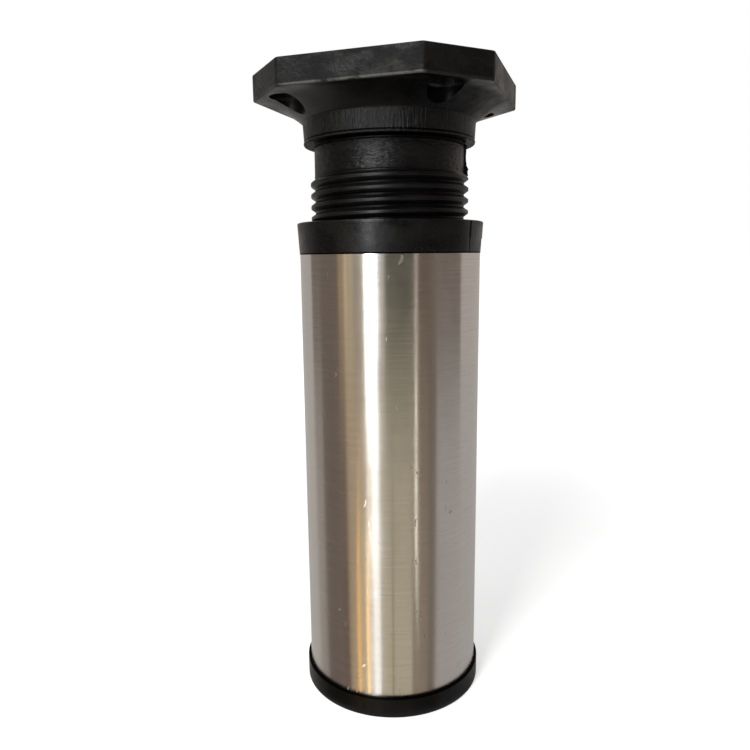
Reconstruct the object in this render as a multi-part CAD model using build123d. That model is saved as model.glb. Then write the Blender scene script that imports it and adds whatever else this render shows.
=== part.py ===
from build123d import *
import math
import os

# Height-adjustable cabinet leg: a moulded mounting head whose hollow threaded stem
# screws into a collar at the top of a stainless tube that stands on a moulded foot cap.
# Millimetres, +Z up. The origin is the middle of the foot cap's underside, and the
# sides of the mounting plate run along X and Y.

# Steel tube
TUBE_RADIUS = 25.0
TUBE_WALL = 1.0
TUBE_LENGTH = 123.1

# Foot cap: a floor under the tube, a skirt round it and a spigot inside it
CAP_FLOOR = 3.2
CAP_SKIRT_WALL = 0.8
CAP_SKIRT_HEIGHT = 2.75
CAP_SOLE_ROUND = 0.5
CAP_SPIGOT_HEIGHT = 12.0
CAP_SPIGOT_WALL = 1.8

# Threaded collar: a tapered flange on top of the tube and a spigot inside it
COLLAR_FLANGE_HEIGHT = 8.4
COLLAR_SEAT_OVERHANG = 0.1
COLLAR_TOP_OVERHANG = 0.6
COLLAR_EDGE_ROUND = 0.3
COLLAR_SPIGOT_LENGTH = 16.0
COLLAR_SPIGOT_WALL = 1.6

# Grip pad moulded on one side of the flange
PAD_HEIGHT = 4.4
PAD_PROUD = 0.15
PAD_HALF_ANGLE = 22.0
PAD_DIRECTION = 5.0

# Crush ribs that hold both spigots in the tube
RIB_COUNT = 12
RIB_WIDTH = 1.2
RIB_HEIGHT = 0.45
RIB_CLEARANCE = 0.05
SPIGOT_LEAD_IN = 0.6
SEAT_CLEARANCE = 0.05

# Stem of the mounting head, hollow, with a coarse right-hand thread
THREAD_PITCH = 3.0
THREAD_DEPTH = 1.2
THREAD_CREST = 0.8
THREAD_ROOT_WIDTH = 2.5
THREAD_ROOT_SINK = 0.25
THREAD_LENGTH = 37.2
THREAD_END_CHAMFER = 1.2
THREAD_BLANK_MARGIN = 1.0
THREAD_CLEARANCE = 0.3
NECK_LENGTH = 7.7
STEM_WALL = 2.6

# How far the head is screwed out of the collar
HEAD_GAP = 20.4

# Boss and flare between the stem and the plate
BOSS_OVERHANG = 1.8
BOSS_DRAFT = 0.3
BOSS_HEIGHT = 5.7
BOSS_LIP = 0.15
BOSS_LIP_HEIGHT = 0.8
BOSS_WALL = 2.9
BOSS_FLOOR = 3.0
FLARE_HEIGHT = 4.6
FLARE_HOLLOW = 0.4
FLARE_MARGIN = 0.6

# Octagonal mounting plate
PLATE_OVERHANG = 8.1
PLATE_THICKNESS = 6.7
PLATE_CORNER_ROUND = 1.5
PLATE_EDGE_ROUND = 0.4
RIM_WALL = 2.4
HUB_WALL = 2.4
CORE_DEPTH = 3.9
CORE_RIB_WIDTH = 1.8

# Four screw holes with deep counterbores from below, each behind a cut corner
HOLE_SPACING = 41.0
CORNER_MARGIN = 6.0
SCREW_HOLE_RADIUS = 2.6
COUNTERBORE_RADIUS = 4.5
SCREW_SEAT = 3.0
SCREW_BOSS_WALL = 1.8

# Levels above the floor
tube_top = CAP_FLOOR + TUBE_LENGTH
collar_top = tube_top + COLLAR_FLANGE_HEIGHT
boss_base = collar_top + HEAD_GAP
flare_base = boss_base + BOSS_HEIGHT
plate_base = flare_base + FLARE_HEIGHT
plate_top = plate_base + PLATE_THICKNESS
thread_top = boss_base - NECK_LENGTH
stem_end = thread_top - THREAD_LENGTH

# Radii, each from the piece that it fits into or stands on
tube_bore = TUBE_RADIUS - TUBE_WALL
rib_reach = tube_bore - RIB_CLEARANCE
spigot_radius = rib_reach - RIB_HEIGHT
collar_bore = spigot_radius - COLLAR_SPIGOT_WALL
crest_radius = collar_bore - THREAD_CLEARANCE
root_radius = crest_radius - THREAD_DEPTH
stem_bore = root_radius - STEM_WALL
boss_radius = crest_radius + BOSS_OVERHANG
boss_bore = boss_radius - BOSS_WALL

# Plate outline
plate_side = 2 * (boss_radius + PLATE_OVERHANG)
corner_cut = plate_side - HOLE_SPACING - math.sqrt(2) * CORNER_MARGIN
flare_radius = plate_side / 2 - FLARE_MARGIN


def disc(radius, low, high):
    """A plain cylinder about the leg's axis between two levels."""
    standing = (Align.CENTER, Align.CENTER, Align.MIN)
    return Pos(0, 0, low) * Cylinder(radius, high - low, align=standing)


def turned(outline):
    """A solid of revolution about the leg's axis from a closed outline of (radius, level)."""
    return revolve(Plane.XZ * make_face(outline), Axis.Z)


def crush_ribs(low, high):
    """Vertical ribs round a spigot that bite on the tube's bore."""
    ribs = []
    inner = spigot_radius - RIB_HEIGHT
    for place in PolarLocations(0, RIB_COUNT):
        rib = Box(rib_reach, RIB_WIDTH, high - low, align=(Align.MIN, Align.CENTER, Align.MIN))
        ribs.append(place * Pos(0, 0, low) * rib)
    ring = disc(rib_reach, low, high) - disc(inner, low, high)
    return ring & Part() + ribs


def leg_tube():
    """The plain stainless tube between the foot cap and the collar."""
    return disc(TUBE_RADIUS, CAP_FLOOR, tube_top) - disc(tube_bore, CAP_FLOOR, tube_top)


def foot_cap():
    """The moulded foot: sole, skirt outside the tube and ribbed spigot inside it."""
    skirt_radius = TUBE_RADIUS + SEAT_CLEARANCE + CAP_SKIRT_WALL
    skirt_top = CAP_FLOOR + CAP_SKIRT_HEIGHT
    spigot_top = CAP_FLOOR + CAP_SPIGOT_HEIGHT
    sole = disc(skirt_radius, 0, skirt_top)
    sole = fillet(sole.edges().group_by(Axis.Z)[0], CAP_SOLE_ROUND)
    sole -= disc(TUBE_RADIUS + SEAT_CLEARANCE, CAP_FLOOR, skirt_top)
    spigot = disc(spigot_radius, CAP_FLOOR, spigot_top)
    spigot = chamfer(spigot.edges().group_by(Axis.Z)[-1], SPIGOT_LEAD_IN)
    spigot += crush_ribs(CAP_FLOOR, spigot_top - SPIGOT_LEAD_IN)
    return sole + spigot - disc(spigot_radius - CAP_SPIGOT_WALL, CAP_FLOOR, spigot_top)


def grip_pad():
    """The slightly raised pad on the side of the collar's flange."""
    outer = TUBE_RADIUS + COLLAR_TOP_OVERHANG + PAD_PROUD
    inner = TUBE_RADIUS - TUBE_WALL
    low = collar_top - PAD_HEIGHT
    band = disc(outer, low, collar_top) - disc(inner, low, collar_top)
    reach = 2 * TUBE_RADIUS
    half_width = reach * math.tan(math.radians(PAD_HALF_ANGLE))
    wedge = make_face(Polyline((0, 0), (reach, -half_width), (reach, half_width), close=True))
    wedge = extrude(Pos(0, 0, low) * wedge, PAD_HEIGHT)
    return band & (Rot(0, 0, PAD_DIRECTION) * wedge)


def threaded_collar():
    """The collar: tapered flange on the tube's end, ribbed spigot inside, bore for the thread."""
    seat_radius = TUBE_RADIUS + COLLAR_SEAT_OVERHANG
    lip_radius = TUBE_RADIUS + COLLAR_TOP_OVERHANG
    spigot_end = tube_top - COLLAR_SPIGOT_LENGTH
    flange = turned(
        Polyline(
            (0, tube_top),
            (seat_radius, tube_top),
            (lip_radius, collar_top),
            (0, collar_top),
            close=True,
        )
    )
    flange = fillet(flange.edges().group_by(Axis.Z)[-1], COLLAR_EDGE_ROUND)
    spigot = disc(spigot_radius, spigot_end, tube_top)
    spigot = chamfer(spigot.edges().group_by(Axis.Z)[0], SPIGOT_LEAD_IN)
    spigot += crush_ribs(spigot_end + SPIGOT_LEAD_IN, tube_top)
    return flange + grip_pad() + spigot - disc(collar_bore, spigot_end, collar_top)


def thread_ridge():
    """The helical ridge of the stem's thread, cut off by a chamfered blank at both ends."""
    half_crest = THREAD_CREST / 2
    flank_slope = (THREAD_ROOT_WIDTH - THREAD_CREST) / 2 / THREAD_DEPTH
    half_foot = THREAD_ROOT_WIDTH / 2 + THREAD_ROOT_SINK * flank_slope
    section = Plane.XZ * make_face(
        Polyline(
            (root_radius - THREAD_ROOT_SINK, -half_foot),
            (crest_radius, -half_crest),
            (crest_radius, half_crest),
            (root_radius - THREAD_ROOT_SINK, half_foot),
            close=True,
        )
    )
    path = Helix(THREAD_PITCH, THREAD_LENGTH + 2 * THREAD_PITCH, root_radius)
    ridge = Pos(0, 0, stem_end - THREAD_PITCH) * sweep(section, path, is_frenet=True)
    blank = disc(crest_radius + THREAD_BLANK_MARGIN, stem_end, thread_top)
    ends = blank.edges().filter_by(GeomType.CIRCLE)
    return ridge & chamfer(ends, THREAD_END_CHAMFER + THREAD_BLANK_MARGIN)


def octagon(inset):
    """The plate's outline, a square with cut corners, moved inwards by inset."""
    half = plate_side / 2 - inset
    cut = corner_cut - inset * (2 - math.sqrt(2))
    short = half - cut
    corners = [
        (half, short),
        (short, half),
        (-short, half),
        (-half, short),
        (-half, -short),
        (-short, -half),
        (short, -half),
        (half, -short),
    ]
    return make_face(Polyline(*corners, close=True))


def mounting_plate():
    """The octagonal plate with its four cored pockets on top, still without screw holes."""
    plate = extrude(Pos(0, 0, plate_base) * octagon(0), PLATE_THICKNESS)
    plate = fillet(plate.edges().filter_by(Axis.Z), PLATE_CORNER_ROUND)
    rims = plate.edges().group_by(Axis.Z)
    plate = fillet(rims[0] + rims[-1], PLATE_EDGE_ROUND)
    core_base = plate_top - CORE_DEPTH
    core = extrude(Pos(0, 0, core_base) * octagon(RIM_WALL), CORE_DEPTH)
    core -= disc(boss_bore + HUB_WALL, core_base, plate_top)
    screw_boss = Cylinder(
        COUNTERBORE_RADIUS + SCREW_BOSS_WALL,
        CORE_DEPTH,
        align=(Align.CENTER, Align.CENTER, Align.MIN),
    )
    for place in GridLocations(HOLE_SPACING, HOLE_SPACING, 2, 2):
        core -= Pos(0, 0, core_base) * place * screw_boss
    rib = Box(plate_side, CORE_RIB_WIDTH, CORE_DEPTH, align=(Align.CENTER, Align.CENTER, Align.MIN))
    for angle in (0, 90):
        core -= Pos(0, 0, core_base) * Rot(0, 0, angle) * rib
    return plate - core


def mounting_head():
    """The one-piece moulding: plate, flare, boss and hollow threaded stem."""
    bore_step = boss_base + BOSS_FLOOR
    flare = SagittaArc((flare_radius, plate_base), (boss_radius, flare_base), -FLARE_HOLLOW)
    boss_foot = boss_radius - BOSS_DRAFT
    outline = [
        flare,
        Polyline(
            flare @ 1,
            (boss_foot, boss_base + BOSS_LIP_HEIGHT),
            (boss_foot + BOSS_LIP, boss_base + BOSS_LIP_HEIGHT / 2),
            (boss_foot, boss_base),
            (root_radius, boss_base),
            (root_radius, stem_end),
            (0, stem_end),
            (0, plate_base),
            flare @ 0,
        ),
    ]
    head = turned(outline) + mounting_plate() + thread_ridge()
    head -= disc(stem_bore, stem_end, plate_top)
    head -= disc(boss_bore, bore_step, plate_top)
    seat_level = plate_top - SCREW_SEAT
    counterbore = Cylinder(
        COUNTERBORE_RADIUS,
        seat_level - boss_base,
        align=(Align.CENTER, Align.CENTER, Align.MAX),
    )
    screw_hole = Cylinder(
        SCREW_HOLE_RADIUS,
        PLATE_THICKNESS,
        align=(Align.CENTER, Align.CENTER, Align.MAX),
    )
    for place in GridLocations(HOLE_SPACING, HOLE_SPACING, 2, 2):
        head -= Pos(0, 0, seat_level) * place * counterbore
        head -= Pos(0, 0, plate_top) * place * screw_hole
    return head


PIECES = {
    "mounting_head": (mounting_head, "#2a2a2c"),
    "threaded_collar": (threaded_collar, "#1f1f21"),
    "leg_tube": (leg_tube, "#b9b4ac"),
    "foot_cap": (foot_cap, "#18181a"),
}

os.makedirs("parts", exist_ok=True)
for name, (make, colour) in PIECES.items():
    piece = make()
    piece.label = name
    piece.color = Color(colour)
    export_step(piece, f"parts/{name}.step")
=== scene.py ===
"""Studio picture of a height-adjustable cabinet leg.

The leg is a moulded mounting head whose hollow threaded stem screws into a collar in
the upper end of a brushed steel tube, which stands on a moulded foot cap. Lengths in
the classes are millimetres, as on a drawing, and meshes are built in metres.
"""

import logging
import math
from dataclasses import dataclass, field, replace
from enum import Enum

import bmesh
import bpy
import numpy as np
from mathutils import Matrix, Vector


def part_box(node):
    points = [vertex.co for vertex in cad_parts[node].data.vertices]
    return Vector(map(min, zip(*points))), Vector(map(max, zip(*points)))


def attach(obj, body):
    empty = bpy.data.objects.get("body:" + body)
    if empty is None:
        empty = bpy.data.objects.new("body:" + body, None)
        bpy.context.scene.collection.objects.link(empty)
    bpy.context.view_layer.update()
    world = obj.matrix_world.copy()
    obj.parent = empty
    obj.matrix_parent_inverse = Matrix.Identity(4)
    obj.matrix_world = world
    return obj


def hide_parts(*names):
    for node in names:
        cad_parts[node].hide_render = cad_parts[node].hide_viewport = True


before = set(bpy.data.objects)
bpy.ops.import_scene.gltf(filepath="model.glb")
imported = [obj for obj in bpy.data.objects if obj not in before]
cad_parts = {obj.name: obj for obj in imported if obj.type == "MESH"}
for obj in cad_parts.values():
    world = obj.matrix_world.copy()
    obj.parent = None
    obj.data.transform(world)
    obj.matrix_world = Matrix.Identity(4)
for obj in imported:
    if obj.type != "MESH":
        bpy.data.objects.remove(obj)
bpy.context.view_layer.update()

MM = 0.001
FULL_TURN = 2 * math.pi
SAME_POINT = 2e-7
SHARP_ANGLE = math.radians(32.0)
UP = Vector((0.0, 0.0, 1.0))
WHITE = (1.0, 1.0, 1.0, 1.0)
Colour = tuple[float, float, float]
Size = tuple[float, float, float]
Zone = tuple[float, float]
Outline = list[tuple[float, float]]
Socket = bpy.types.NodeSocket

log = logging.getLogger("cabinet_leg")


class Body(Enum):
    """The two bodies that move against each other."""

    LEG = "leg"
    HEAD = "head"


# Outlines and rings


@dataclass(frozen=True)
class Corner:
    """One corner of an outline, given by its distance from the axis and its level."""

    radius: float
    level: float
    rounding: float = 0.0


def rounded(corners: list[Corner], closed: bool, steps: int = 4, hold: float = 0.06) -> Outline:
    """Turns corners into an outline with true arcs at its rounded corners.

    Args:
        corners: the corners in order.
        closed: whether the last corner joins the first.
        steps: straight steps in each arc.
        hold: distance of a supporting point beyond each arc, which keeps flat faces flat.

    Returns:
        The outline as (radius, level) points.
    """
    points = []
    count = len(corners)
    for index, corner in enumerate(corners):
        at = Vector((corner.radius, corner.level))
        at_end = not closed and index in (0, count - 1)
        if corner.rounding <= 0 or at_end:
            points.append(tuple(at))
            continue
        before = corners[index - 1]
        after = corners[(index + 1) % count]
        back = (Vector((before.radius, before.level)) - at).normalized()
        ahead = (Vector((after.radius, after.level)) - at).normalized()
        half_angle = back.angle(ahead) / 2
        reach = corner.rounding / math.tan(half_angle)
        centre = at + (back + ahead).normalized() * (corner.rounding / math.sin(half_angle))
        start = at + back * reach
        end = at + ahead * reach
        points.append(tuple(start + back * hold))
        for step in range(steps + 1):
            share = step / steps
            spoke = (start - centre).slerp(end - centre, share).normalized()
            points.append(tuple(centre + spoke * corner.rounding))
        points.append(tuple(end + ahead * hold))
    return points


def even_angles(count: int) -> np.ndarray:
    """Equally spaced angles round the axis."""
    return np.arange(count) * (FULL_TURN / count)


class Skin:
    """A surface made of rings of points, each ring joined to the next by four-sided faces."""

    def __init__(self, angles: np.ndarray) -> None:
        """Starts an empty skin whose rings share the given angles."""
        self.angles = angles
        self.rings: list[np.ndarray] = []

    def ring(self, radii: np.ndarray | float, levels: np.ndarray | float) -> None:
        """Adds one ring.

        Args:
            radii: one radius, or one for every angle.
            levels: one level, or one for every angle.
        """
        radii = np.broadcast_to(radii, self.angles.shape)
        levels = np.broadcast_to(levels, self.angles.shape)
        self.rings.append(np.stack([radii * np.cos(self.angles), radii * np.sin(self.angles), levels], 1))

    def turned(self, outline: Outline) -> None:
        """Adds a circle for each point of an outline."""
        for radius, level in outline:
            self.ring(radius, level)

    def mesh(self, name: str, closed: bool) -> bpy.types.Mesh:
        """Joins the rings into a mesh in metres.

        Args:
            name: the name of the mesh.
            closed: whether the last ring joins the first.

        Returns:
            The new mesh.
        """
        count = len(self.angles)
        points = np.concatenate(self.rings) * MM
        around = np.arange(count)
        onward = np.roll(around, -1)
        last = len(self.rings) if closed else len(self.rings) - 1
        faces = []
        for index in range(last):
            low = index * count
            high = (index + 1) % len(self.rings) * count
            faces += np.stack([low + around, low + onward, high + onward, high + around], 1).tolist()
        mesh = bpy.data.meshes.new(name)
        mesh.from_pydata(points.tolist(), [], faces)
        return mesh


def smooth(mesh: bpy.types.Mesh) -> None:
    """Shades a mesh smooth, but for its sharp edges."""
    mesh.shade_smooth()
    mesh.set_sharp_from_angle(angle=SHARP_ANGLE)


def tidy_mesh(mesh: bpy.types.Mesh) -> None:
    """Merges doubled points, turns the faces outwards and sets smooth shading.

    Args:
        mesh: the mesh to change.
    """
    work = bmesh.new()
    work.from_mesh(mesh)
    bmesh.ops.remove_doubles(work, verts=work.verts, dist=SAME_POINT)
    bmesh.ops.recalc_face_normals(work, faces=work.faces)
    work.to_mesh(mesh)
    work.free()
    smooth(mesh)


def placed(mesh: bpy.types.Mesh) -> bpy.types.Object:
    """Puts a mesh into the scene.

    Args:
        mesh: the mesh.

    Returns:
        The new object, which has the mesh's name.
    """
    thing = bpy.data.objects.new(mesh.name, mesh)
    bpy.context.scene.collection.objects.link(thing)
    return thing


def joined(name: str, meshes: list[bpy.types.Mesh]) -> bpy.types.Mesh:
    """Joins several meshes.

    Args:
        name: the name of the new mesh.
        meshes: the meshes to join, which are removed afterwards.

    Returns:
        The new mesh.
    """
    work = bmesh.new()
    for mesh in meshes:
        work.from_mesh(mesh)
        bpy.data.meshes.remove(mesh)
    whole = bpy.data.meshes.new(name)
    work.to_mesh(whole)
    work.free()
    return whole


def cut_away(mesh: bpy.types.Mesh, cutters: list[bpy.types.Mesh]) -> bpy.types.Mesh:
    """Takes closed cutters out of a closed mesh.

    Args:
        mesh: the mesh to cut.
        cutters: the solids to take away, which are removed afterwards.

    Returns:
        The cut mesh, which replaces the given one.
    """
    target = placed(mesh)
    for cutter in cutters:
        tool = placed(cutter)
        step = target.modifiers.new("cut", "BOOLEAN")
        step.operation = "DIFFERENCE"
        step.solver = "EXACT"
        step.object = tool
    graph = bpy.context.evaluated_depsgraph_get()
    result = bpy.data.meshes.new_from_object(target.evaluated_get(graph), depsgraph=graph)
    result.name = mesh.name + "_cut"
    for cutter in cutters:
        bpy.data.meshes.remove(cutter)
    bpy.data.meshes.remove(mesh)
    return result


# Finishes


def new_material(name: str) -> bpy.types.Material:
    """Adds a material that is made of nodes."""
    material = bpy.data.materials.new(name)
    material.use_nodes = True
    return material


class Wiring:
    """The nodes of one node tree and the links between them."""

    def __init__(self, tree: bpy.types.NodeTree) -> None:
        """Takes over a tree and empties it."""
        self.tree = tree
        tree.nodes.clear()

    def node(self, kind: str, **settings: object) -> bpy.types.Node:
        """Adds a node.

        Args:
            kind: the node's type.
            settings: its own properties.

        Returns:
            The new node.
        """
        made = self.tree.nodes.new(kind)
        for key, value in settings.items():
            setattr(made, key, value)
        return made

    def link(self, source: Socket, target: Socket) -> None:
        """Joins an output to an input."""
        self.tree.links.new(source, target)

    def feed(self, target: Socket, value: object) -> None:
        """Feeds one input.

        Args:
            target: the input.
            value: an output to link to it, or a plain value to set on it.
        """
        if isinstance(value, Socket):
            self.link(value, target)
        else:
            target.default_value = value

    def step(self, kind: str, *values: object, **settings: object) -> Socket:
        """Adds a node and feeds its first inputs in order.

        Args:
            kind: the node's type.
            values: outputs or plain values for the inputs.
            settings: the node's own properties.

        Returns:
            The node's first output.
        """
        made = self.node(kind, **settings)
        for target, value in zip(made.inputs, values):
            self.feed(target, value)
        return made.outputs[0]

    def show(self, shader: Socket, kind: str = "ShaderNodeOutputMaterial") -> None:
        """Puts a shader on the tree's output."""
        self.link(shader, self.node(kind).inputs["Surface"])

    def math(self, operation: str, *values: object) -> Socket:
        """One arithmetic step on sockets or numbers."""
        return self.step("ShaderNodeMath", *values, operation=operation)

    def times(self, first: Socket, second: object) -> Socket:
        """The product of two values."""
        return self.math("MULTIPLY", first, second)

    def scaled(self, vector: Socket, factors: Size | list[float]) -> Socket:
        """A vector with each part multiplied by its own factor."""
        return self.step("ShaderNodeVectorMath", vector, factors, operation="MULTIPLY")

    def length(self, vector: Socket) -> Socket:
        """The length of a vector."""
        measure = self.node("ShaderNodeVectorMath", operation="LENGTH")
        self.link(vector, measure.inputs[0])
        return measure.outputs["Value"]

    def spread(self, value: Socket, low: float, high: float,
               to_low: float = 0.0, to_high: float = 1.0) -> Socket:
        """Maps a value smoothly from one range to another, held at its ends.

        Args:
            value: the value.
            low: where the first range starts.
            high: where the first range ends.
            to_low: the result at low.
            to_high: the result at high.

        Returns:
            The mapped value.
        """
        return self.step("ShaderNodeMapRange", value, low, high, to_low, to_high,
                         interpolation_type="SMOOTHSTEP")

    def seen_directly(self) -> Socket:
        """A share that is 1 for camera, glossy and transmission rays.

        Returns:
            The share, 0 for all other rays.
        """
        path = self.node("ShaderNodeLightPath")
        seen = self.math("MAXIMUM", path.outputs["Is Camera Ray"], path.outputs["Is Glossy Ray"])
        return self.math("MAXIMUM", seen, path.outputs["Is Transmission Ray"])


class FinishBoard(Wiring):
    """The shader nodes of one finish, with a principled shader on the output."""

    def __init__(self, name: str) -> None:
        """Starts the material."""
        self.material = new_material(name)
        super().__init__(self.material.node_tree)
        self.shader = self.node("ShaderNodeBsdfPrincipled")
        self.show(self.shader.outputs[0])
        self.place = self.node("ShaderNodeTexCoord").outputs["Object"]

    def set(self, name: str, value: object) -> None:
        """Feeds one socket of the principled shader."""
        self.feed(self.shader.inputs[name], value)

    def noise(self, size: Size, detail: float = 3.0, roughness: float = 0.55) -> Socket:
        """Noise whose features have the given size in mm along X, Y and Z.

        Args:
            size: the feature size along each axis.
            detail: how many finer layers are added.
            roughness: how strong the finer layers are.

        Returns:
            The noise value, from 0 to 1.
        """
        texture = self.node("ShaderNodeTexNoise")
        self.link(self.scaled(self.place, [1 / (MM * length) for length in size]), texture.inputs["Vector"])
        for name, value in (("Scale", 1.0), ("Detail", detail), ("Roughness", roughness)):
            texture.inputs[name].default_value = value
        return texture.outputs["Fac"]

    def tint(self, share: Socket, first: object, second: object) -> Socket:
        """Blends two colours.

        Args:
            share: how much of the second colour, from 0 to 1.
            first: a colour or an output.
            second: a colour or an output.

        Returns:
            The blended colour.
        """
        mixed = self.node("ShaderNodeMix", data_type="RGBA")
        self.link(share, mixed.inputs["Factor"])
        for target, colour in ((mixed.inputs[6], first), (mixed.inputs[7], second)):
            self.feed(target, colour if isinstance(colour, Socket) else (*colour, 1.0))
        return mixed.outputs[2]

    def bump(self, height: Socket, depth: float, normal: Socket | None = None) -> Socket:
        """Raises the surface by a height map.

        Args:
            height: the map, from 0 to 1.
            depth: the height of the map's full range in mm.
            normal: the normal of bumps below this one.

        Returns:
            The new normal.
        """
        raised = self.node("ShaderNodeBump")
        raised.inputs["Distance"].default_value = depth * MM
        self.link(height, raised.inputs["Height"])
        if normal is not None:
            self.link(normal, raised.inputs["Normal"])
        return raised.outputs["Normal"]

    def along(self, axis: str) -> Socket:
        """The place along one axis, in mm."""
        split = self.node("ShaderNodeSeparateXYZ")
        self.link(self.place, split.inputs[0])
        return self.times(split.outputs[axis], 1 / MM)

    def distance_out(self) -> Socket:
        """The distance from the axis, in mm."""
        return self.length(self.scaled(self.place, (1 / MM, 1 / MM, 0.0)))

    def distance_from_holes(self, spacing: float) -> Socket:
        """The level distance from the nearest of four holes at the corners of a square.

        Args:
            spacing: the square's side in mm.

        Returns:
            The distance in mm.
        """
        squares = []
        for axis in ("X", "Y"):
            away = self.math("ABSOLUTE", self.along(axis))
            squares.append(self.math("POWER", self.math("SUBTRACT", away, spacing / 2), 2.0))
        return self.math("SQRT", self.math("ADD", *squares))

    def zone(self, low: float, high: float, edge: float) -> Socket:
        """A share that is 1 between two levels.

        Args:
            low: the lower level in mm.
            high: the upper level in mm.
            edge: over how many mm the share fades beyond each.

        Returns:
            The share.
        """
        level = self.along("Z")
        above = self.spread(level, low - edge, low)
        below = self.spread(level, high, high + edge, 1.0, 0.0)
        return self.times(above, below)

    def across(self, left: float, right: float, to_left: float, to_right: float) -> Socket:
        """A value that changes smoothly along X between two places in mm."""
        return self.spread(self.along("X"), left, right, to_left, to_right)


@dataclass
class Layers:
    """The colour, roughness and normal that a finish builds up in layers."""

    colour: Socket
    rough: Socket
    normal: Socket


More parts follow.
